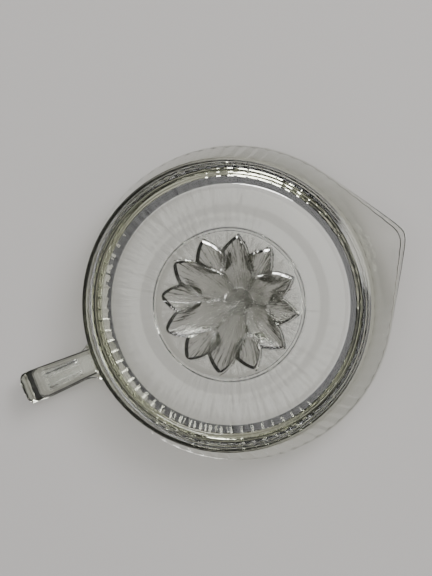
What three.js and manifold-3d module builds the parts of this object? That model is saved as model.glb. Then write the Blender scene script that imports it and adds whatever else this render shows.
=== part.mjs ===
// A handled citrus juicer in pressed clear glass: a shallow ribbed bowl with a ribbed reaming
// cone, a pouring spout and a loop handle. The real one is a single pressing. Each mesh below is
// one named region of it, and a narrow parting gap keeps neighbouring regions apart.
//
// Millimetres, +Z up. The spout points along +X and the handle along -X. The origin is on the
// table, under the middle of the whole length, so the bowl's own axis stands at AXIS_X.

import * as THREE from "three";
import { mergeVertices } from "three/addons/utils/BufferGeometryUtils.js";
import Module from "manifold-3d";

const wasm = await Module();
wasm.setup();

// Overall sizes.
const SPOUT_REACH = 91.5; // from the bowl's axis to the point of the spout
const HANDLE_REACH = 114.5; // from the bowl's axis to the outside of the handle
const AXIS_X = (HANDLE_REACH - SPOUT_REACH) / 2;
const RIM_HEIGHT = 33.5;
const CONE_HEIGHT = 53;
const GAP = 0.3; // parting gap between regions

// Bowl wall, which flares from the foot to the rim.
const WALL_FOOT_RADIUS = 72; // outside, over the ribs, at the bottom of the wall
const RIM_RADIUS = 78.5; // outside of the plain band
const RIM_THICKNESS = 4.2;
const RIM_EDGE = 1.3; // radius of both edges of the flat-topped rim
const BAND_HEIGHT = 5; // plain band above the ribs
const RIB_COUNT = 72;
const RIB_DEPTH = 0.6;
const CORNER_START = 56.5; // inside radius at which the floor starts to turn up into the wall
const CORNER_RADIUS = 4.5;
const CORNER_TURN = 53; // degrees from the flat floor to the slope of the wall's inside

// Foot and floor. The floor is raised, and the foot's inner side slopes up to it.
const FOOT_HEIGHT = 2.6;
const FOOT_INNER = 66.5; // of the flat that stands on the table
const RECESS_RADIUS = 63.2; // where the foot's inner side meets the underside of the floor
const FLOOR_BOTTOM = 6;
const FLOOR_TOP = 10.5;
const PARTING_RADIUS = 55; // upright joint between floor and wall
const SWELL_RADIUS = 44.5; // of a low round swell in the floor
const SWELL_HEIGHT = 0.5;

// Reaming cone.
const PLATFORM_RADIUS = 37.5;
const PLATFORM_TOP = 12;
const CONE_RADIUS = 35;
const LONG_RIBS = 6; // as many short ones stand between them
const VALLEY_DEPTH = 0.235; // share of the local radius
const SHORT_RIB_END = 0.42; // share of the cone's height at which the short ribs run out
const CONE_WALL = 7; // glass between the cone's outside and the hollow in it, straight up
const HOLLOW_HEIGHT = 42;

// Spout.
const SPOUT_BASE = 14; // height at which the wall starts to lean out
const TIP_ROUNDING = 2; // degrees to each side over which the point is rounded

// Handle.
const HANDLE_WIDTH = 15.8;
const NECK_WIDTH = 13; // where the loop meets the wall
const HANDLE_TOP = 30.5;
const HANDLE_BOTTOM = 3.5;
const HANDLE_BAR = 6.5; // thickness of the loop, seen from the side
const ROOT_FLARE = 7; // extra width to each side where the loop's upper end meets the wall
const GROOVE_WIDTH = 3; // of each of the two long grooves between the ridges on top
const GROOVE_SIDE = 2.75; // from the handle's middle to the middle of a groove
const GROOVE_DEPTH = 1.1;
const GROOVE_LENGTH = 20;

const radians = THREE.MathUtils.degToRad;
const smooth = THREE.MathUtils.smoothstep;

// Solids.

function solidOf(geometry) {
  const bare = geometry.clone();
  bare.deleteAttribute("normal");
  bare.deleteAttribute("uv");
  const merged = mergeVertices(bare, 1e-4);
  return new wasm.Manifold(
    new wasm.Mesh({
      numProp: 3,
      vertProperties: new Float32Array(merged.attributes.position.array),
      triVerts: new Uint32Array(merged.index.array),
    }),
  );
}

function geometryOf(solid) {
  const mesh = solid.getMesh();
  const geometry = new THREE.BufferGeometry();
  const position = new THREE.BufferAttribute(new Float32Array(mesh.vertProperties), 3);
  geometry.setAttribute("position", position);
  geometry.setIndex(new THREE.BufferAttribute(new Uint32Array(mesh.triVerts), 1));
  geometry.computeVertexNormals();
  return geometry;
}

// Turns a closed [radius, height] profile about Z. The first point falls on +X.
function turned(profile, segments) {
  const points = [...profile, profile[0]].map(([r, z]) => new THREE.Vector2(r, z));
  const lathe = new THREE.LatheGeometry(points, segments);
  return lathe.rotateX(Math.PI / 2).rotateZ(Math.PI / 2);
}

// Moves each vertex to the radius that radiusAt(radius, height, angle) gives, after turning it to
// the angle that angleAt gives.
function reshaped(geometry, radiusAt, angleAt = (radius, height, angle) => angle) {
  const position = geometry.attributes.position;
  for (let i = 0; i < position.count; i++) {
    const [x, y, z] = [position.getX(i), position.getY(i), position.getZ(i)];
    const radius = Math.hypot(x, y);
    if (radius < 1e-6) continue;
    const angle = angleAt(radius, z, Math.atan2(y, x));
    const moved = radiusAt(radius, z, angle);
    position.setXY(i, moved * Math.cos(angle), moved * Math.sin(angle));
  }
  return geometry;
}

// Points of an arc in a profile, from one angle to the other, both in degrees.
function arc(centreR, centreZ, radius, from, to, steps) {
  return Array.from({ length: steps + 1 }, (_, i) => {
    const angle = radians(from + ((to - from) * i) / steps);
    return [centreR + radius * Math.cos(angle), centreZ + radius * Math.sin(angle)];
  });
}

function extruded(shape, depth, curveSegments) {
  return new THREE.ExtrudeGeometry(shape, { depth, bevelEnabled: false, curveSegments });
}

// Spout: how far the rim stands outside its circle at an angle from the spout's middle. Its two
// sides are the tangents to that circle from the tip.

const tipRounding = radians(TIP_ROUNDING);
const spoutHalfAngle = Math.acos(RIM_RADIUS / SPOUT_REACH) + tipRounding;

function spoutOut(angle) {
  const off = Math.min(Math.hypot(angle, tipRounding), spoutHalfAngle);
  return RIM_RADIUS / Math.cos(spoutHalfAngle - off) - RIM_RADIUS;
}

function wallRadius(radius, height, angle) {
  const lean = smooth(height, SPOUT_BASE, RIM_HEIGHT);
  return radius + lean * spoutOut(angle);
}

// Ribs: a crest in the middle of each pitch and a groove between neighbours, below the band.

function ribbed(radius, height, angle) {
  const isOuter = radius > outsideRadius(height) - 0.1 && height < bandBottom;
  const isGroove = Math.cos(angle * RIB_COUNT) > 0;
  return wallRadius(radius - (isOuter && isGroove ? RIB_DEPTH : 0), height, angle);
}

const bandBottom = RIM_HEIGHT - BAND_HEIGHT;
const cornerTop = arc(
  CORNER_START,
  FLOOR_TOP + CORNER_RADIUS,
  CORNER_RADIUS,
  CORNER_TURN - 90,
  -90,
  4,
);

// The wall's inside is straight from the rounded corner up to the rim.
function insideRadius(height) {
  const [radius, start] = cornerTop[0];
  const share = (height - start) / (RIM_HEIGHT - 3 - start);
  return THREE.MathUtils.lerp(radius, RIM_RADIUS - RIM_THICKNESS, share);
}

// The rim from its outer edge over the top to its inner edge.
function rimTop() {
  const height = RIM_HEIGHT - RIM_EDGE;
  return [
    ...arc(RIM_RADIUS - RIM_EDGE, height, RIM_EDGE, 0, 90, 2),
    ...arc(RIM_RADIUS - RIM_THICKNESS + RIM_EDGE, height, RIM_EDGE, 90, 180, 2),
    [RIM_RADIUS - RIM_THICKNESS, RIM_HEIGHT - 3],
  ];
}

// Outside of the wall, over the ribs.
function outsideRadius(height) {
  const share = THREE.MathUtils.clamp((height - FOOT_HEIGHT) / (bandBottom - FOOT_HEIGHT), 0, 1);
  return THREE.MathUtils.lerp(WALL_FOOT_RADIUS, RIM_RADIUS, share);
}

// Inner side of the foot, which slopes from the flat up to the floor.
function recessRadius(height) {
  return THREE.MathUtils.lerp(FOOT_INNER, RECESS_RADIUS, height / FLOOR_BOTTOM);
}

function wallSolid() {
  const bottom = FOOT_HEIGHT + GAP;
  const profile = [
    [recessRadius(bottom), bottom],
    [outsideRadius(bottom), bottom],
    [outsideRadius(SPOUT_BASE), SPOUT_BASE],
    [RIM_RADIUS, bandBottom - GAP],
    [insideRadius(bandBottom - GAP), bandBottom - GAP],
    ...cornerTop,
    [PARTING_RADIUS + GAP, FLOOR_TOP],
    [PARTING_RADIUS + GAP, FLOOR_BOTTOM],
    [RECESS_RADIUS, FLOOR_BOTTOM],
  ];
  return solidOf(reshaped(turned(profile, 2 * RIB_COUNT), ribbed));
}

function rimSolid() {
  const profile = [[insideRadius(bandBottom), bandBottom], [RIM_RADIUS, bandBottom], ...rimTop()];
  return solidOf(reshaped(turned(profile, 2 * RIB_COUNT), wallRadius));
}

// A slice of the bowl around the spout, from one radius out, used to part it from the ring.
function spoutWedge(margin) {
  const reach = 2 * SPOUT_REACH;
  const across = reach * Math.sin(spoutHalfAngle);
  const along = reach * Math.cos(spoutHalfAngle) - margin;
  const shape = new THREE.Shape();
  shape.moveTo(-margin, 0);
  shape.lineTo(along, -across);
  shape.lineTo(along, across);
  shape.closePath();
  const wedge = extruded(shape, RIM_HEIGHT, 1);
  return solidOf(wedge.translate(0, 0, SPOUT_BASE - margin));
}

// The spout takes in the plain band too, so its wall and rim are one piece there.
function spoutSolid() {
  const bottom = SPOUT_BASE - 1;
  const profile = [
    [insideRadius(bottom), bottom],
    [outsideRadius(bottom), bottom],
    [outsideRadius(bandBottom - GAP), bandBottom - GAP],
    [RIM_RADIUS, bandBottom],
    ...rimTop(),
  ];
  const ring = solidOf(reshaped(turned(profile, 2 * RIB_COUNT), ribbed));
  return ring.intersect(spoutWedge(-GAP / 2));
}

function floorSolid() {
  const profile = [
    [PLATFORM_RADIUS + GAP, FLOOR_BOTTOM],
    [PARTING_RADIUS, FLOOR_BOTTOM],
    [PARTING_RADIUS, FLOOR_TOP],
    [SWELL_RADIUS + 4, FLOOR_TOP],
    [SWELL_RADIUS, FLOOR_TOP + SWELL_HEIGHT],
    [SWELL_RADIUS - 4, FLOOR_TOP],
    [PLATFORM_RADIUS + GAP, FLOOR_TOP],
  ];
  return solidOf(turned(profile, RIB_COUNT));
}

function footSolid() {
  const profile = [
    [FOOT_INNER, 0],
    [WALL_FOOT_RADIUS - 0.8, 0],
    [WALL_FOOT_RADIUS, 0.8],
    [WALL_FOOT_RADIUS, FOOT_HEIGHT],
    [recessRadius(FOOT_HEIGHT), FOOT_HEIGHT],
  ];
  return solidOf(turned(profile, RIB_COUNT));
}

// Cone: an ogive from the platform to the point, with ribs that stand out of its sides. The
// hollow in it follows the ribs.

function coneRadius(height) {
  const share = (CONE_HEIGHT - height) / (CONE_HEIGHT - PLATFORM_TOP);
  return CONE_RADIUS * share ** 0.8;
}

function hollowRadius(height) {
  return coneRadius(height + CONE_WALL);
}

// Angle from a long rib's crest to the valley beside it. The valleys on both sides of a short rib
// close in on it until they nearly meet at its end.

const ribPitch = (2 * Math.PI) / LONG_RIBS;

function runOut(height) {
  const share = (height - PLATFORM_TOP) / (CONE_HEIGHT - PLATFORM_TOP);
  return THREE.MathUtils.clamp(share / SHORT_RIB_END, 0, 1);
}

function valleyAngle(height) {
  return (ribPitch / 4) * (1 + 0.8 * runOut(height) ** 2.2);
}

// The same height on the outside of the cone, for a point on it or on the hollow.
function outsideHeight(radius, height) {
  return radius > coneRadius(height) - 0.01 ? height : height + CONE_WALL;
}

// Turns the vertices so that the valleys always run along a line of them.
function alongValleys(radius, height, angle) {
  const middle = ribPitch * Math.round(angle / ribPitch);
  const off = Math.abs(angle - middle);
  const quarter = ribPitch / 4;
  const valley = valleyAngle(outsideHeight(radius, height));
  const inside = (off * valley) / quarter;
  const beyond = valley + ((off - quarter) * (ribPitch / 2 - valley)) / quarter;
  return middle + Math.sign(angle - middle) * (off < quarter ? inside : beyond);
}

// The ribs have sharp crests.
function coneRibs(radius, height, angle) {
  const level = outsideHeight(radius, height);
  const valley = valleyAngle(level);
  const off = Math.abs(angle - ribPitch * Math.round(angle / ribPitch));
  const beyond = Math.max(off - valley, 0) / (ribPitch / 2 - valley);
  const depth = off < valley ? off / valley : 1 - beyond * (1 - runOut(level) ** 4);
  return radius * (1 - VALLEY_DEPTH * depth);
}

function coneSolid() {
  const base = PLATFORM_TOP + GAP;
  const steps = 12;
  const outside = Array.from({ length: steps }, (_, i) => {
    const height = base + ((CONE_HEIGHT - base) * i) / steps;
    return [coneRadius(height), height];
  });
  const dome = HOLLOW_HEIGHT - 3;
  const inside = [dome, 33, 26, 19, base].map((height) => [hollowRadius(height), height]);
  const profile = [...outside, [0, CONE_HEIGHT], [0, HOLLOW_HEIGHT], ...inside];
  return solidOf(reshaped(turned(profile, RIB_COUNT), coneRibs, alongValleys));
}

// The platform is the round step that the cone stands on, with the mouth of the hollow in it.
function platformSolid() {
  const profile = [
    [hollowRadius(FLOOR_BOTTOM), FLOOR_BOTTOM],
    [PLATFORM_RADIUS, FLOOR_BOTTOM],
    [PLATFORM_RADIUS, PLATFORM_TOP - 0.8],
    [PLATFORM_RADIUS - 0.8, PLATFORM_TOP],
    [hollowRadius(PLATFORM_TOP), PLATFORM_TOP],
  ];
  const isMouth = (radius) => radius < CONE_RADIUS;
  const shape = (radius, ...at) => (isMouth(radius) ? coneRibs(radius, ...at) : radius);
  const turn = (radius, height, angle) =>
    isMouth(radius) ? alongValleys(radius, height, angle) : angle;
  return solidOf(reshaped(turned(profile, RIB_COUNT), shape, turn));
}

// Handle: the side view of the loop and its outline from above, each extruded, meet in it.

function loopOutline() {
  const left = -HANDLE_REACH;
  const right = -WALL_FOOT_RADIUS + 4;
  const middle = (HANDLE_TOP + HANDLE_BOTTOM) / 2;
  const outer = (HANDLE_TOP - HANDLE_BOTTOM) / 2;
  const inner = outer - HANDLE_BAR;
  const shape = new THREE.Shape();
  shape.moveTo(right, HANDLE_BOTTOM);
  shape.lineTo(right, HANDLE_BOTTOM + HANDLE_BAR);
  shape.lineTo(left + outer, HANDLE_BOTTOM + HANDLE_BAR);
  shape.absarc(left + outer, middle, inner, 1.5 * Math.PI, Math.PI / 2, true);
  shape.lineTo(right, HANDLE_TOP - HANDLE_BAR);
  shape.lineTo(right, HANDLE_TOP);
  shape.lineTo(left + outer, HANDLE_TOP);
  shape.absarc(left + outer, middle, outer, Math.PI / 2, 1.5 * Math.PI, false);
  shape.closePath();
  return shape;
}

// The loop from above. Only its upper half flares where it meets the wall.
function gripOutline(flare, wall) {
  const half = HANDLE_WIDTH / 2;
  const neck = NECK_WIDTH / 2;
  const corner = 4.5;
  const left = -HANDLE_REACH;
  const shape = new THREE.Shape();
  shape.moveTo(wall + 6, -neck - flare);
  shape.lineTo(wall + 6, neck + flare);
  shape.lineTo(wall + 1, neck + flare);
  shape.quadraticCurveTo(wall - 3, neck + 0.6, wall - 12, neck + 0.5);
  shape.lineTo(left + 10, half);
  shape.lineTo(left + corner, half);
  shape.absarc(left + corner, half - corner, corner, Math.PI / 2, Math.PI, false);
  shape.absarc(left + corner, corner - half, corner, Math.PI, 1.5 * Math.PI, false);
  shape.lineTo(left + 10, -half);
  shape.lineTo(wall - 12, -neck - 0.5);
  shape.quadraticCurveTo(wall - 3, -neck - 0.6, wall + 1, -neck - flare);
  shape.closePath();
  return shape;
}

function handleSolid() {
  const depth = HANDLE_WIDTH + 2 * ROOT_FLARE + 4;
  const loop = extruded(loopOutline(), depth, 8).rotateX(Math.PI / 2).translate(0, depth / 2, 0);
  const middle = (HANDLE_TOP + HANDLE_BOTTOM) / 2;
  const lowerOutline = gripOutline(0.1, -WALL_FOOT_RADIUS);
  const upperOutline = gripOutline(ROOT_FLARE, -WALL_FOOT_RADIUS - 4);
  const lower = solidOf(extruded(lowerOutline, 2 * middle, 5).translate(0, 0, -middle));
  const upper = solidOf(extruded(upperOutline, middle, 5).translate(0, 0, middle));
  const bar = solidOf(loop).intersect(lower.add(upper));
  const bowl = turned(
    [
      [0, -1],
      [WALL_FOOT_RADIUS + GAP, -1],
      [WALL_FOOT_RADIUS + GAP, FOOT_HEIGHT],
      [RIM_RADIUS + GAP, bandBottom],
      [RIM_RADIUS + GAP, RIM_HEIGHT + 1],
      [0, RIM_HEIGHT + 1],
    ],
    2 * RIB_COUNT,
  );
  return grooved(bar.subtract(solidOf(bowl)));
}

// Two long grooves with round ends along the top leave three ridges under the thumb.
function grooved(bar) {
  const half = GROOVE_WIDTH / 2;
  const start = -HANDLE_REACH + 9.5 + half;
  const end = start + GROOVE_LENGTH - GROOVE_WIDTH;
  return [-1, 1].reduce((solid, side) => {
    const slot = new THREE.Shape();
    slot.absarc(end, 0, half, -Math.PI / 2, Math.PI / 2, false);
    slot.absarc(start, 0, half, Math.PI / 2, 1.5 * Math.PI, false);
    slot.closePath();
    const tool = extruded(slot, 2 * GROOVE_DEPTH, 5);
    tool.translate(0, side * GROOVE_SIDE, HANDLE_TOP - GROOVE_DEPTH);
    return solid.subtract(solidOf(tool));
  }, bar);
}

// Assembly.

const juicer = new THREE.Group();
juicer.name = "citrus_juicer";
juicer.position.x = AXIS_X;

function addRegion(name, solid, colour) {
  const material = new THREE.MeshStandardMaterial({
    color: colour,
    roughness: 0.05,
    metalness: 0,
    transparent: true,
    opacity: 0.5,
  });
  const mesh = new THREE.Mesh(geometryOf(solid), material);
  mesh.name = name;
  juicer.add(mesh);
}

const cut = spoutWedge(GAP / 2);
addRegion("foot_ring", footSolid(), 0xd9ddd2);
addRegion("bowl_floor", floorSolid(), 0xdde0dc);
addRegion("ribbed_wall", wallSolid().subtract(cut), 0xd3d7cc);
addRegion("rim_band", rimSolid().subtract(cut), 0xdadbe0);
addRegion("pouring_spout", spoutSolid(), 0xd6d9d6);
addRegion("cone_platform", platformSolid(), 0xdcdfdb);
addRegion("reaming_cone", coneSolid(), 0xc9cbbd);
addRegion("loop_handle", handleSolid(), 0xd0d2c8);

export default juicer;
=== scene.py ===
"""A pressed-glass citrus juicer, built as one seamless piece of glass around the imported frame.

The photograph shows the juicer upside down on a table, seen from its underside. Here it stands the
right way up, so the photograph's camera is below it and looks up at the foot, and the table that
it lies on is a plane above it that only shows from below. The floor at its foot only shows from
above.
"""

import math

import bmesh
import bpy
import numpy as np
from mathutils import Matrix, Vector


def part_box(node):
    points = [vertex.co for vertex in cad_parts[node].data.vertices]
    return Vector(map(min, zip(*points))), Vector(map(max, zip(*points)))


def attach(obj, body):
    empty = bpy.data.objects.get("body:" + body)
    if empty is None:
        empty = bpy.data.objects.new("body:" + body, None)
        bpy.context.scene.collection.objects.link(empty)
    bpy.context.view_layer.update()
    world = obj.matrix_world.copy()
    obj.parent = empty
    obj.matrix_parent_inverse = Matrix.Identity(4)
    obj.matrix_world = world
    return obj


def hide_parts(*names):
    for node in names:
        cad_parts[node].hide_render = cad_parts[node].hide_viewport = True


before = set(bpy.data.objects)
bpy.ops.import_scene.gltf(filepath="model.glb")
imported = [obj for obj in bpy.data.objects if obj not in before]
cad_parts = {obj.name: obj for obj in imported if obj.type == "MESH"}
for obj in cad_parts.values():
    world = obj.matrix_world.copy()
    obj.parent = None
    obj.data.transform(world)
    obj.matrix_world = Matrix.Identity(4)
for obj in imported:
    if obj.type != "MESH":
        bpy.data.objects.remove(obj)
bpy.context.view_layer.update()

MM = 0.001

# Main sizes, in millimetres from the bowl's axis, read from the frame.


def node_box(name):
    """A node's lowest and highest corners, in millimetres."""
    low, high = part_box(name)
    return Vector(low) / MM, Vector(high) / MM


foot_low, foot_high = node_box("foot_ring")
AXIS_X = (foot_low.x + foot_high.x) / 2
AXIS = Vector((AXIS_X * MM, 0, 0))  # foot of the bowl's axis, in metres
FOOT_R = (foot_high.y - foot_low.y) / 2
RIM_R = node_box("rim_band")[1].y
RIM_Z = node_box("rim_band")[1].z
BAND_Z = node_box("rim_band")[0].z
TIP_Z = node_box("reaming_cone")[1].z
SPOUT_REACH = node_box("pouring_spout")[1].x - AXIS_X
HANDLE_REACH = AXIS_X - node_box("loop_handle")[0].x
HANDLE_TOP = node_box("loop_handle")[1].z
HANDLE_BOTTOM = node_box("loop_handle")[0].z
PLATFORM_R = node_box("cone_platform")[1].y
PLATFORM_Z = node_box("cone_platform")[1].z
FLOOR_UNDER = node_box("bowl_floor")[0].z

# Sizes that the frame doesn't give.

AROUND = 576  # vertices round the bowl
FLOOR_GLASS = 4.5  # thickness of the floor
FLOOR_Z = FLOOR_UNDER + FLOOR_GLASS
SWELL_R = 44.5
SWELL_HALF = 5.0  # half of the swell's width
SWELL_HEIGHT = 0.5
CORNER_RADIUS = 4.5  # between the floor and the inside of the wall
CORNER_END = -37  # degrees at which the corner runs out into the wall
CORNER_REACH = 61.0  # of the corner's circle, from the axis
RIM_HALF = 2.1  # half of the rim's thickness
RIM_EDGE = 2.0
WALL_FOOT_Z = 2.6  # height from which the wall flares
REEDS = 72
REED_DEPTH = 0.6
REED_BOTTOM = 3.6
REED_ARC = 0.75  # squared share of a half ellipse that a reed's crest takes up
SPOUT_BASE = 13.0
SPOUT_ROUNDING = 2  # degrees
FOOT_FLAT_R = 66.8  # inner edge of the flat that the juicer stands on

CONE_R = 35.0
CONE_BULGE = 0.8  # power of the cone's outline, which is straight at 1
LONG_RIBS = 6
SHORT_RIB_END = 0.42  # share of the cone's height at which the short ribs have run out
VALLEY_DEPTH = 0.235  # share of the cone's radius
VALLEY_CURVE = 0.2  # share of the valleys' sides that is curved, towards sharp crests
VALLEY_CLOSING = 2.2  # power with which the valleys close in on the end of a short rib
CONE_WALL = 7.0  # glass above the hollow, straight up
HOLLOW_Z = 42.0
DOME_HEIGHT = 3.5  # of the hollow's top
DOME_SHARE = 0.86  # of the crests' radius, where the hollow has turned round
ROUND_FROM = 31.0  # heights between which the hollow's ribs run out
ROUND_TO = 37.0


def smooth(value, low, high):
    """0 below low, 1 above high, and a soft step between."""
    share = np.clip((value - low) / (high - low), 0, 1)
    return share * share * (3 - 2 * share)


def arc(centre_r, centre_z, radius, start, end, steps):
    """Profile points of an arc, from one angle to another in degrees."""
    angles = np.radians(np.linspace(start, end, steps + 1))
    return [(centre_r + radius * math.cos(a), centre_z + radius * math.sin(a)) for a in angles]


def line(start, end, steps):
    """Profile points from start to end, without the end."""
    return [
        (start[0] + (end[0] - start[0]) * i / steps, start[1] + (end[1] - start[1]) * i / steps)
        for i in range(steps)
    ]


# Profile of the bowl, from the point of the cone over the inside, the rim, the outside and the
# foot to the top of the hollow under the cone. Each stretch has a name that its shaping uses.


def outside_r(z):
    """Radius of the wall's outside, over the crests of its reeds."""
    share = min(max((z - WALL_FOOT_Z) / (BAND_Z - WALL_FOOT_Z), 0), 1)
    return FOOT_R + (RIM_R - FOOT_R) * share


def crest_r(z):
    """Radius of the cone over the crests of its ribs."""
    return CONE_R * ((TIP_Z - z) / (TIP_Z - PLATFORM_Z)) ** CONE_BULGE


def cone_profile():
    """The crests of the cone's ribs, from the point down to the platform."""
    steps = 24
    heights = [TIP_Z - (TIP_Z - PLATFORM_Z) * i / steps for i in range(steps + 1)]
    return [(crest_r(z), z) for z in heights]


def swell(r):
    """Height of a low round swell in the floor."""
    across = min(abs(r - SWELL_R) / SWELL_HALF, 1)
    return SWELL_HEIGHT / 2 * (1 + math.cos(math.pi * across))


def inside_profile():
    """The platform's step, the floor, the corner and the inside of the wall."""
    corner_r = CORNER_REACH - CORNER_RADIUS
    step = [
        (PLATFORM_R - 1.7, PLATFORM_Z),
        (PLATFORM_R - 1.2, PLATFORM_Z - 0.45),
        (PLATFORM_R - 0.2, PLATFORM_Z - 0.6),
        (PLATFORM_R + 0.5, FLOOR_Z + 0.1),
        (PLATFORM_R + 1.0, FLOOR_Z),
    ]
    steps = (-4.5, -3, -1.5, 0, 1.5, 3, 4.5, 6, 8.5)
    floor = [(SWELL_R + off, FLOOR_Z + swell(SWELL_R + off)) for off in steps]
    corner = arc(corner_r, FLOOR_Z + CORNER_RADIUS, CORNER_RADIUS, -90, CORNER_END, 7)
    wall_top = (RIM_R - 2 * RIM_HALF, RIM_Z - 3)
    wall = line(corner[-1], wall_top, 7)
    return step + floor + corner + wall[1:]


def rim_profile():
    """The rim's two edges and the plain band below it."""
    inner = RIM_R - 2 * RIM_HALF
    edge_z = RIM_Z - RIM_EDGE
    return (
        arc(inner + RIM_EDGE, edge_z, RIM_EDGE, 180, 90, 9)
        + arc(RIM_R - RIM_EDGE, edge_z, RIM_EDGE, 90, 0, 9)
        + [(RIM_R, BAND_Z + 1.5), (RIM_R, BAND_Z + 0.5), (RIM_R - 0.1, BAND_Z)]
    )


def reed_profile():
    """The reeded wall, from the band down to the foot."""
    top_z = BAND_Z - 0.6
    top = (outside_r(top_z) - 0.1, top_z)
    return line(top, (outside_r(REED_BOTTOM), REED_BOTTOM), 10) + [
        (FOOT_R, REED_BOTTOM),
        (FOOT_R - 0.05, 2.4),
    ]


def foot_profile():
    """The foot's ring, stepped on both sides, and the underside of the floor."""
    outer_steps = [
        (FOOT_R - 0.1, 1.9),
        (FOOT_R - 0.6, 1.5),
        (FOOT_R - 0.8, 0.9),
        (FOOT_R - 1.4, 0.4),
        (FOOT_R - 2.2, 0.3),
    ]
    grooved_flat = [
        (FOOT_R - 2.5, 0),
        (FOOT_R - 3.4, 0),
        (FOOT_R - 3.6, 0.2),
        (FOOT_R - 3.8, 0),
        (FOOT_FLAT_R, 0),
    ]
    inner_steps = [
        (FOOT_FLAT_R - 0.5, 0.15),
        (FOOT_FLAT_R - 0.8, 0.6),
        (FOOT_FLAT_R - 1.3, 2.2),
        (FOOT_FLAT_R - 1.7, 2.8),
        (FOOT_FLAT_R - 2.2, 3.0),
        (FOOT_FLAT_R - 2.6, 3.5),
        (FOOT_FLAT_R - 3.3, 5.4),
        (FOOT_FLAT_R - 3.6, FLOOR_UNDER - 0.15),
        (FOOT_FLAT_R - 4.0, FLOOR_UNDER),
    ]
    underside = [(r, FLOOR_UNDER) for r in (54, 46, 38)]
    return outer_steps + grooved_flat + inner_steps + underside


def hollow_profile():
    """The hollow follows the cone's ribs, a wall's thickness below them."""
    bottom = FLOOR_UNDER + 0.3
    top = HOLLOW_Z - DOME_HEIGHT
    steps = 17
    heights = [bottom + (top - bottom) * i / steps for i in range(steps + 1)]
    sides = [(crest_r(z + CONE_WALL), z) for z in heights]
    dome_r = sides[-1][0]
    angles = np.radians((25, 45, 65, 80))
    dome = [(dome_r * math.cos(a), top + DOME_HEIGHT * math.sin(a)) for a in angles]
    return [(CONE_R - 0.2, FLOOR_UNDER)] + sides + dome + [(0, HOLLOW_Z)]


STRETCHES = [
    ("cone", cone_profile()),
    ("inside", inside_profile()),
    ("rim", rim_profile()),
    ("reeds", reed_profile()),
    ("foot", foot_profile()),
    ("hollow", hollow_profile()),
]


def spout_out(angle):
    """How far the rim stands outside its circle, along the two tangents from the spout's tip."""
    rounding = math.radians(SPOUT_ROUNDING)
    half = math.acos(RIM_R / SPOUT_REACH) + rounding
    off = np.minimum(np.hypot(angle, rounding), half)
    return RIM_R / np.cos(half - off) - RIM_R


def reed_groove(angle, z):
    """How far the surface lies under the crests of the reeds, which are rounded."""
    across = (angle * REEDS / (2 * math.pi)) % 1
    below_crest = 1 - np.sqrt(1 - REED_ARC * (2 * across - 1) ** 2)
    deepest = 1 - math.sqrt(1 - REED_ARC)
    fade = smooth(z, 1.0, 3.4) * (1 - smooth(z, BAND_Z - 1.4, BAND_Z - 0.1))
    return REED_DEPTH * below_crest / deepest * fade


def cone_scale(angle, z):
    """Share of the cone's radius left at an angle, between sharp crests.

    The valleys on both sides of a short rib close in on it until they meet at its end.
    """
    share = (z - PLATFORM_Z) / (TIP_Z - PLATFORM_Z)
    run_out = min(max(share / SHORT_RIB_END, 0), 1)
    turn = 2 * math.pi / LONG_RIBS
    off = np.abs((angle / turn + 0.5) % 1 - 0.5) * turn  # from the nearest long rib
    valley = turn / 4 * (1 + run_out**VALLEY_CLOSING)
    beyond = (off - valley) / max(turn / 2 - valley, 1e-6)
    long_side = off / valley
    short_side = 1 - np.clip(beyond, 0, 1) * (1 - run_out**4)
    side = np.where(off < valley, long_side, short_side)
    return 1 - VALLEY_DEPTH * ((1 - VALLEY_CURVE) * side + VALLEY_CURVE * side**2)


def ring(stretch, radius, z, angle):
    """Radius of one ring of vertices, at every angle."""
    radii = np.full_like(angle, radius)
    if stretch == "cone":
        radii = radii * cone_scale(angle, z)
    if stretch == "hollow":
        ribbed = cone_scale(angle, z + CONE_WALL)
        rounded = smooth(z, ROUND_FROM, ROUND_TO)
        radii = radii * (ribbed + (DOME_SHARE - ribbed) * rounded)
    if stretch == "reeds":
        radii = radii - reed_groove(angle, z)
    if stretch in ("inside", "rim", "reeds") and radius > PLATFORM_R + 2:
        radii = radii + smooth(z, SPOUT_BASE, RIM_Z) * spout_out(angle)
    return radii


def bowl_mesh():
    """The whole bowl as one closed surface, in millimetres about its own axis."""
    angle = (np.arange(AROUND) + 0.5) * 2 * math.pi / AROUND
    angle = (angle + math.pi) % (2 * math.pi) - math.pi
    rows = [(name, r, z) for name, points in STRETCHES for r, z in points]
    top, rows, bottom = rows[0], rows[1:-1], rows[-1]
    verts = [(0, 0, top[2])]
    for name, r, z in rows:
        radii = ring(name, r, z, angle)
        verts += zip(radii * np.cos(angle), radii * np.sin(angle), np.full_like(angle, z))
    verts.append((0, 0, bottom[2]))
    last = len(verts) - 1
    faces = []
    for j in range(AROUND):
        k = (j + 1) % AROUND
        faces.append((0, 1 + j, 1 + k))
        faces.append((last - AROUND + j, last, last - AROUND + k))
        for i in range(len(rows) - 1):
            here, below = 1 + i * AROUND, 1 + (i + 1) * AROUND
            faces.append((here + j, below + j, below + k, here + k))
    return new_mesh("juicer_glass", verts, faces)


# Handle: a rounded bar with three ridges on top, swept along a D-shaped loop.

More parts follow.
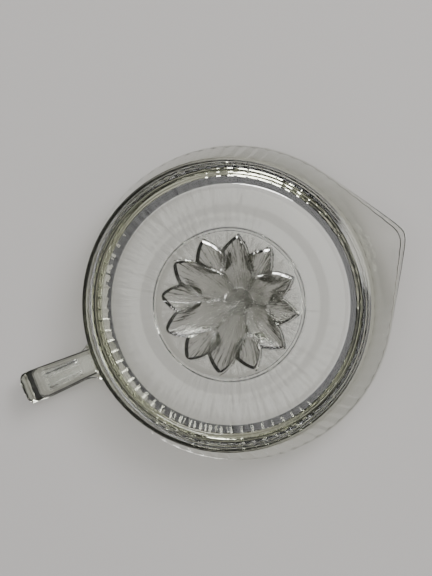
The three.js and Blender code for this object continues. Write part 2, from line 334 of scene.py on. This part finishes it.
BAR = 6.5  # thickness of the loop, seen from the side
BAR_EDGE = 3.0  # radius of the bar's edges
UPPER_ROOT_X = -74.2  # ends of the loop, inside the glass of the wall
LOWER_ROOT_X = -69.5
NECK_X = -74.0
NECK = 13.0  # width at the neck
WIDEST_X = -104.0
WIDTH = 15.8
FLARE = 14.0  # how much wider the upper root is than the neck
FLARE_LENGTH = 11.0
BEND_FLATNESS = 0.9  # of the loop's end, which is a little flatter than round
END_CORNER = 4.5  # radius of the corners of the loop's end, seen from above
GROOVE_SIDE = 2.75  # from the handle's middle to the middle of each groove
GROOVE_HALF = 1.5
GROOVE_DEPTH = 1.1
GROOVE_SLOPE = 1.3  # width of each side of a groove
GROOVE_INSET = 9.5  # from the handle's end
GROOVE_STOP_X = -85.0


def handle_path():
    """Middle line of the loop, from its upper end round to its lower end."""
    radius = (HANDLE_TOP - HANDLE_BOTTOM - BAR) / 2
    middle_z = (HANDLE_TOP + HANDLE_BOTTOM) / 2
    bend_x = -HANDLE_REACH + BAR / 2 + radius * BEND_FLATNESS
    top_x = np.linspace(UPPER_ROOT_X, bend_x, 40)[:-1]
    low_x = np.linspace(bend_x, LOWER_ROOT_X, 22)[1:]
    angles = np.radians(np.linspace(90, 270, 33))
    bend = [
        (bend_x + radius * BEND_FLATNESS * math.cos(a), middle_z + radius * math.sin(a))
        for a in angles
    ]
    top = [(x, middle_z + radius) for x in top_x]
    low = [(x, middle_z - radius) for x in low_x]
    return [Vector((x, 0, z)) for x, z in top + bend + low]


def half_width(x, is_upper):
    """Half of the handle's width: a rounded end, a narrow neck and a flared upper root."""
    width = float(np.interp(x, (WIDEST_X, NECK_X), (WIDTH, NECK)))
    if is_upper:
        width += FLARE * max(0, 1 - (NECK_X - x) / FLARE_LENGTH) ** 2
    from_corner = max(0.0, END_CORNER - (HANDLE_REACH + x))
    return width / 2 - END_CORNER + math.sqrt(max(END_CORNER**2 - from_corner**2, 0))


def bar_section():
    """The bar's outline as share of the flat width, side of the edge and height."""
    flat = np.linspace(-1, 1, 41)
    height = BAR / 2
    points = [(share, 0.0, height) for share in flat]
    turns = np.radians(np.linspace(90, -90, 23))[1:-1]
    points += [(1, BAR_EDGE * math.cos(a), edge_height(a)) for a in turns]
    points += [(share, 0.0, -height) for share in np.linspace(1, -1, 9)]
    points += [(-1, -BAR_EDGE * math.cos(a), -edge_height(a)) for a in turns]
    return points


def edge_height(turn):
    """Height on the bar's rounded edge, whose middle is a little flat."""
    flat = BAR / 2 - BAR_EDGE
    flat_turn = 0.15  # radians over which the flat is passed
    return math.copysign(flat * min(1, abs(turn) / flat_turn), turn) + BAR_EDGE * math.sin(turn)


def groove(x, y):
    """Depth of the two long grooves in the top, which leave three ridges."""
    start = -HANDLE_REACH + GROOVE_INSET
    along = max(start + GROOVE_HALF - x, x - GROOVE_STOP_X + GROOVE_HALF, 0)
    off = math.hypot(along, abs(y) - GROOVE_SIDE)
    return GROOVE_DEPTH * float(smooth(GROOVE_HALF - off, 0, GROOVE_SLOPE))


def handle_mesh():
    """The loop as a closed surface, in millimetres about the bowl's axis."""
    path = handle_path()
    section = bar_section()
    around = len(section)
    middle_z = (HANDLE_TOP + HANDLE_BOTTOM) / 2
    verts = []
    for i, point in enumerate(path):
        along = (path[min(i + 1, len(path) - 1)] - path[max(i - 1, 0)]).normalized()
        out = Vector((-along.z, 0, along.x))
        for share, edge, height in section:
            place = point - out * height
            half = half_width(place.x, point.z > middle_z) - BAR_EDGE
            y = share * half + edge
            if height == BAR / 2 and point.z > middle_z:
                place.z -= groove(place.x, y)
            verts.append(place + Vector((0, y, 0)))
    faces = [
        (i * around + k, i * around + (k + 1) % around,
         (i + 1) * around + (k + 1) % around, (i + 1) * around + k)
        for i in range(len(path) - 1)
        for k in range(around)
    ]
    faces.append(tuple(reversed(range(around))))
    faces.append(tuple(range((len(path) - 1) * around, len(path) * around)))
    return new_mesh("handle", verts, faces)


def new_mesh(name, verts, faces):
    """An object in metres and in the frame, from vertices in millimetres about the bowl's axis."""
    mesh = bpy.data.meshes.new(name)
    mesh.from_pydata([tuple(v) for v in verts], [], faces)
    mesh.update()
    mesh.transform(Matrix.Translation(AXIS) @ Matrix.Scale(MM, 4))
    shaped = bmesh.new()
    shaped.from_mesh(mesh)
    bmesh.ops.recalc_face_normals(shaped, faces=shaped.faces)
    shaped.to_mesh(mesh)
    shaped.free()
    made = bpy.data.objects.new(name, mesh)
    bpy.context.collection.objects.link(made)
    return made


SHARP_ANGLE = math.radians(11)  # between faces, from which an edge isn't shaded smooth


def joined(body, part):
    """Body with part joined to it, as one surface."""
    union = body.modifiers.new("union", "BOOLEAN")
    union.operation = "UNION"
    union.solver = "EXACT"
    union.object = part
    graph = bpy.context.evaluated_depsgraph_get()
    mesh = bpy.data.meshes.new_from_object(body.evaluated_get(graph))
    body.modifiers.clear()
    body.data = mesh
    mesh.polygons.foreach_set("use_smooth", [True] * len(mesh.polygons))
    mesh.set_sharp_from_angle(angle=SHARP_ANGLE)
    bpy.data.objects.remove(part)
    return body


# Materials.

GLASS_IOR = 1.52
GLASS_TINT = (0.80, 0.81, 0.70, 1)
TINT_DENSITY = 62
LIGHT_THROUGH = 0.68  # share of the light that the glass lets through in its shadow

BUMP_HEIGHT = 0.0001
SKIN = 0.12  # heights of the three bumps, against BUMP_HEIGHT
STREAKS = 8
RINGS = 0.8
SKIN_SCALE = 90
STREAKS_AROUND = 16  # noise scale of the streaks per radian, and per metre along them
STREAKS_ALONG = 60
FLOOR_STREAKS = 0.2  # against 1 on the cone
RINGS_SCALE = 900
CONE_EDGE = (0.033, 0.037)  # radii between which the cone's streaks fade
FOOT_EDGE = (0.0605, 0.062)  # radii between which the foot's rings begin
FOOT_TOP = (0.005, 0.0065)  # heights between which they end


def node_of(nodes, kind, **values):
    """A shader node with its settings, and numbers for its inputs as input_0, input_1 and so on."""
    made = nodes.new(kind)
    for name, value in values.items():
        if name.startswith("input_"):
            made.inputs[int(name[6:])].default_value = value
        else:
            setattr(made, name, value)
    return made


def glass_material():
    """Clear glass with a faint olive tint in its body and fine bumps on its skin."""
    made = bpy.data.materials.new("pressed_glass")
    made.use_nodes = True
    nodes, links = made.node_tree.nodes, made.node_tree.links
    shader = nodes["Principled BSDF"]
    shader.inputs["Base Color"].default_value = (1, 1, 1, 1)
    shader.inputs["IOR"].default_value = GLASS_IOR
    shader.inputs["Transmission Weight"].default_value = 1
    shader.inputs["Roughness"].default_value = 0
    body = nodes.new("ShaderNodeVolumeAbsorption")
    body.inputs["Color"].default_value = GLASS_TINT
    body.inputs["Density"].default_value = TINT_DENSITY
    links.new(body.outputs["Volume"], nodes["Material Output"].inputs["Volume"])

    def maths(operation, first, second):
        node = node_of(nodes, "ShaderNodeMath", operation=operation)
        for socket, value in zip(node.inputs, (first, second)):
            if isinstance(value, (int, float)):
                socket.default_value = value
            else:
                links.new(value, socket)
        return node.outputs[0]

    def past(value, edge):
        """0 before the edge and 1 past it, with a soft step between."""
        step = node_of(nodes, "ShaderNodeMapRange", interpolation_type="SMOOTHSTEP")
        links.new(value, step.inputs["Value"])
        step.inputs["From Min"].default_value = edge[0]
        step.inputs["From Max"].default_value = edge[1]
        return step.outputs[0]

    place = nodes.new("ShaderNodeTexCoord").outputs["Object"]
    centred = node_of(nodes, "ShaderNodeVectorMath", operation="SUBTRACT", input_1=AXIS)
    links.new(place, centred.inputs[0])
    split = nodes.new("ShaderNodeSeparateXYZ")
    links.new(centred.outputs[0], split.inputs[0])
    x, y, z = split.outputs
    squares = maths("ADD", maths("MULTIPLY", x, x), maths("MULTIPLY", y, y))
    radius = maths("POWER", squares, 0.5)
    turn = maths("ARCTAN2", y, x)

    # The skin of pressed glass waves a little all over.
    skin = node_of(nodes, "ShaderNodeTexNoise")
    skin.inputs["Scale"].default_value = SKIN_SCALE
    links.new(place, skin.inputs["Vector"])

    # Fine lines run down the ribs of the cone and, more faintly, outwards over the floor.
    around = nodes.new("ShaderNodeCombineXYZ")
    links.new(maths("MULTIPLY", turn, STREAKS_AROUND), around.inputs[0])
    links.new(maths("MULTIPLY", radius, STREAKS_ALONG), around.inputs[1])
    streaks = node_of(nodes, "ShaderNodeTexNoise")
    streaks.inputs["Scale"].default_value = 1
    streaks.inputs["Detail"].default_value = 3
    links.new(around.outputs[0], streaks.inputs["Vector"])
    on_cone = maths("SUBTRACT", 1, past(radius, CONE_EDGE))
    strength = maths("ADD", maths("MULTIPLY", on_cone, 1 - FLOOR_STREAKS), FLOOR_STREAKS)
    streak = maths("MULTIPLY", streaks.outputs["Fac"], strength)

    # Fine rings run round the foot.
    rings = node_of(nodes, "ShaderNodeTexNoise", noise_dimensions="1D")
    rings.inputs["Scale"].default_value = RINGS_SCALE
    rings.inputs["Detail"].default_value = 1
    links.new(radius, rings.inputs["W"])
    below_floor = maths("SUBTRACT", 1, past(z, FOOT_TOP))
    on_foot = maths("MULTIPLY", past(radius, FOOT_EDGE), below_floor)
    ringed = maths("MULTIPLY", rings.outputs["Fac"], on_foot)

    waves = maths("MULTIPLY", skin.outputs["Fac"], SKIN)
    height = maths("ADD", waves, maths("MULTIPLY", streak, STREAKS))
    height = maths("ADD", height, maths("MULTIPLY", ringed, RINGS))
    bump = node_of(nodes, "ShaderNodeBump")
    bump.inputs["Strength"].default_value = 1
    bump.inputs["Distance"].default_value = BUMP_HEIGHT
    links.new(height, bump.inputs["Height"])
    links.new(bump.outputs["Normal"], shader.inputs["Normal"])

    # Most of the light goes on to what the glass stands or lies on.
    path = nodes.new("ShaderNodeLightPath")
    clear = nodes.new("ShaderNodeBsdfTransparent")
    mix = nodes.new("ShaderNodeMixShader")
    links.new(maths("MULTIPLY", path.outputs["Is Shadow Ray"], LIGHT_THROUGH), mix.inputs["Fac"])
    links.new(shader.outputs[0], mix.inputs[1])
    links.new(clear.outputs[0], mix.inputs[2])
    links.new(mix.outputs[0], nodes["Material Output"].inputs["Surface"])
    return made


def stage_material(name, colour, steepest=None):
    """A matt pale surface that shows only its front, and only up to a steepest view of it."""
    made = bpy.data.materials.new(name)
    made.use_nodes = True
    nodes, links = made.node_tree.nodes, made.node_tree.links
    shader = nodes["Principled BSDF"]
    shader.inputs["Roughness"].default_value = 0.8
    shader.inputs["Specular IOR Level"].default_value = 0.1
    shader.inputs["Base Color"].default_value = (*colour, 1)
    clear = nodes.new("ShaderNodeBsdfTransparent")
    mix = nodes.new("ShaderNodeMixShader")
    hidden = nodes.new("ShaderNodeNewGeometry").outputs["Backfacing"]
    if steepest is not None:
        weight = nodes.new("ShaderNodeLayerWeight")
        weight.inputs["Blend"].default_value = 0.5
        limit = 1 - math.cos(math.radians(steepest))
        steep = node_of(nodes, "ShaderNodeMath", operation="GREATER_THAN", input_1=limit)
        either = node_of(nodes, "ShaderNodeMath", operation="MAXIMUM")
        links.new(weight.outputs["Facing"], steep.inputs[0])
        links.new(steep.outputs[0], either.inputs[0])
        links.new(hidden, either.inputs[1])
        hidden = either.outputs[0]
    links.new(hidden, mix.inputs["Fac"])
    links.new(shader.outputs[0], mix.inputs[1])
    links.new(clear.outputs[0], mix.inputs[2])
    links.new(mix.outputs[0], nodes["Material Output"].inputs["Surface"])
    return made


# The object.

glass = joined(bowl_mesh(), handle_mesh())
glass.name = "juicer_glass"
glass.data.materials.clear()
glass.data.materials.append(glass_material())
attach(glass, "root")
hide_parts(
    "foot_ring",
    "bowl_floor",
    "ribbed_wall",
    "rim_band",
    "pouring_spout",
    "cone_platform",
    "reaming_cone",
    "loop_handle",
)


# Stage.

FLOOR_SIZE = 12
FLOOR_COLOUR = (0.64, 0.625, 0.615)
TABLE_SIZE = 1.2
TABLE_COLOUR = (0.55, 0.535, 0.526)
TABLE_STEEPEST = 31.5  # degrees; what the glass bends further sees the dark surround
TABLE_GAP = 0.0005
REST_TILT = math.radians(11.8)


def plane(name, size, place, turn, material):
    """A square of the stage that casts no shadow and no light."""
    half = size / 2
    corners = [(-half, -half, 0), (half, -half, 0), (half, half, 0), (-half, half, 0)]
    mesh = bpy.data.meshes.new(name)
    mesh.from_pydata(corners, [], [(0, 1, 2, 3)])
    mesh.materials.append(material)
    made = bpy.data.objects.new(name, mesh)
    made.location = place
    made.rotation_euler = turn
    bpy.context.collection.objects.link(made)
    made.visible_shadow = False
    made.visible_diffuse = False
    return made


# The floor only shows to the camera, so that the glass sees the surround below it.
floor = plane("floor", FLOOR_SIZE, (0, 0, 0), (0, 0, 0), stage_material("floor", FLOOR_COLOUR))
floor.visible_glossy = False
floor.visible_transmission = False

# Upside down, the juicer rests on the cone's point and on the handle.
plane(
    "table",
    TABLE_SIZE,
    AXIS + Vector((0, 0, TIP_Z * MM + TABLE_GAP)),
    (math.pi, -REST_TILT, 0),
    stage_material("table", TABLE_COLOUR, TABLE_STEEPEST),
)


def lamp(name, place, size, power, colour=(1, 1, 1)):
    """A round lamp that faces the bowl, from a place measured from the bowl's axis."""
    light = bpy.data.lights.new(name, "AREA")
    light.shape = "DISK"
    light.size = size
    light.energy = power
    light.color = colour
    made = bpy.data.objects.new(name, light)
    made.location = AXIS + Vector(place)
    made.rotation_euler = (-Vector(place)).to_track_quat("-Z", "Y").to_euler()
    bpy.context.collection.objects.link(made)
    return made


# Hard white images of the lamps in the glass are left out.
WARM = (1, 0.985, 0.96)
key_below = lamp("key_below", (1.05, -0.35, -1.15), 0.8, 15, WARM)
key_below.visible_glossy = False
key_below.visible_transmission = False
key_above = lamp("key_above", (0.5, -1.0, 1.3), 0.7, 18)
key_above.visible_glossy = False


FILL_STRENGTH = 1.0
FILL_SPREAD = math.radians(60)


def fill_lamp():
    """Even light from above that only brightens the floor."""
    light = bpy.data.lights.new("fill_above", "SUN")
    light.energy = FILL_STRENGTH
    light.angle = FILL_SPREAD
    made = bpy.data.objects.new("fill_above", light)
    made.visible_glossy = False
    made.visible_transmission = False
    bpy.context.collection.objects.link(made)


fill_lamp()

# The surround's brightness by height, from straight down at 0 over the horizon to straight up at 1.
SURROUND = ((0.36, 0.40), (0.46, 0.03), (0.87, 0.01), (0.94, 0.5))
BACKDROP = (0.46, 0.455, 0.45, 1)  # what the camera itself sees past the stage

GLOW = Vector((0.1, -0.06, -1)).normalized()  # way to the soft bright patch behind the camera
GLOW_EDGE = math.radians(24)
GLOW_CORE = math.radians(12)
GLOW_STRENGTH = 3.4


def surround_ramp(nodes):
    """A colour ramp with the surround's levels, slightly warm."""
    ramp = nodes.new("ShaderNodeValToRGB")
    ramp.color_ramp.interpolation = "EASE"
    while len(ramp.color_ramp.elements) < len(SURROUND):
        ramp.color_ramp.elements.new(0.5)
    for element, (position, level) in zip(ramp.color_ramp.elements, SURROUND):
        element.position = position
        element.color = (level, 0.99 * level, 0.98 * level, 1)
    return ramp


def sky():
    """Pale below and straight above, dark between, with a bright patch behind the camera."""
    world = bpy.data.worlds.new("sky")
    bpy.context.scene.world = world
    world.use_nodes = True
    nodes, links = world.node_tree.nodes, world.node_tree.links
    way = nodes.new("ShaderNodeTexCoord").outputs["Generated"]

    split = nodes.new("ShaderNodeSeparateXYZ")
    upward = node_of(nodes, "ShaderNodeMapRange")
    upward.inputs["From Min"].default_value = -1
    surround = surround_ramp(nodes)
    links.new(way, split.inputs[0])
    links.new(split.outputs["Z"], upward.inputs["Value"])
    links.new(upward.outputs[0], surround.inputs["Fac"])

    facing = node_of(nodes, "ShaderNodeVectorMath", operation="DOT_PRODUCT", input_1=GLOW)
    patch = node_of(nodes, "ShaderNodeMapRange", interpolation_type="SMOOTHSTEP")
    patch.inputs["From Min"].default_value = math.cos(GLOW_EDGE)
    patch.inputs["From Max"].default_value = math.cos(GLOW_CORE)
    patch.inputs["To Max"].default_value = GLOW_STRENGTH
    both = node_of(nodes, "ShaderNodeMixRGB", blend_type="ADD")
    both.inputs["Fac"].default_value = 1
    links.new(way, facing.inputs[0])
    links.new(facing.outputs["Value"], patch.inputs["Value"])
    links.new(surround.outputs["Color"], both.inputs["Color1"])
    links.new(patch.outputs[0], both.inputs["Color2"])

    path = nodes.new("ShaderNodeLightPath")
    seen = nodes.new("ShaderNodeMixRGB")
    seen.inputs["Color2"].default_value = BACKDROP
    links.new(path.outputs["Is Camera Ray"], seen.inputs["Fac"])
    links.new(both.outputs["Color"], seen.inputs["Color1"])
    links.new(seen.outputs["Color"], nodes["Background"].inputs["Color"])


sky()


# Camera, below the foot and nearly straight under it.

CAMERA_PLACE = AXIS + Vector((0.16585, 0.02465, -0.95445))
CAMERA_AIM = AXIS + Vector((-0.00116, -0.00963, 0))
SPOUT_TURN = math.radians(22.7)  # of the spout, from the picture's right towards its top
SENSOR = 36
LENS = 125


def camera():
    """The photograph's camera, which looks up at the foot."""
    data = bpy.data.cameras.new("camera")
    data.sensor_width = SENSOR
    data.lens = LENS
    made = bpy.data.objects.new("camera", data)
    forward = (CAMERA_AIM - CAMERA_PLACE).normalized()
    upward = Vector((math.sin(SPOUT_TURN), -math.cos(SPOUT_TURN), 0))
    side = forward.cross(upward).normalized()
    turn = Matrix((side, side.cross(forward), -forward)).transposed()
    made.matrix_world = Matrix.Translation(CAMERA_PLACE) @ turn.to_4x4()
    bpy.context.collection.objects.link(made)
    bpy.context.scene.camera = made


camera()
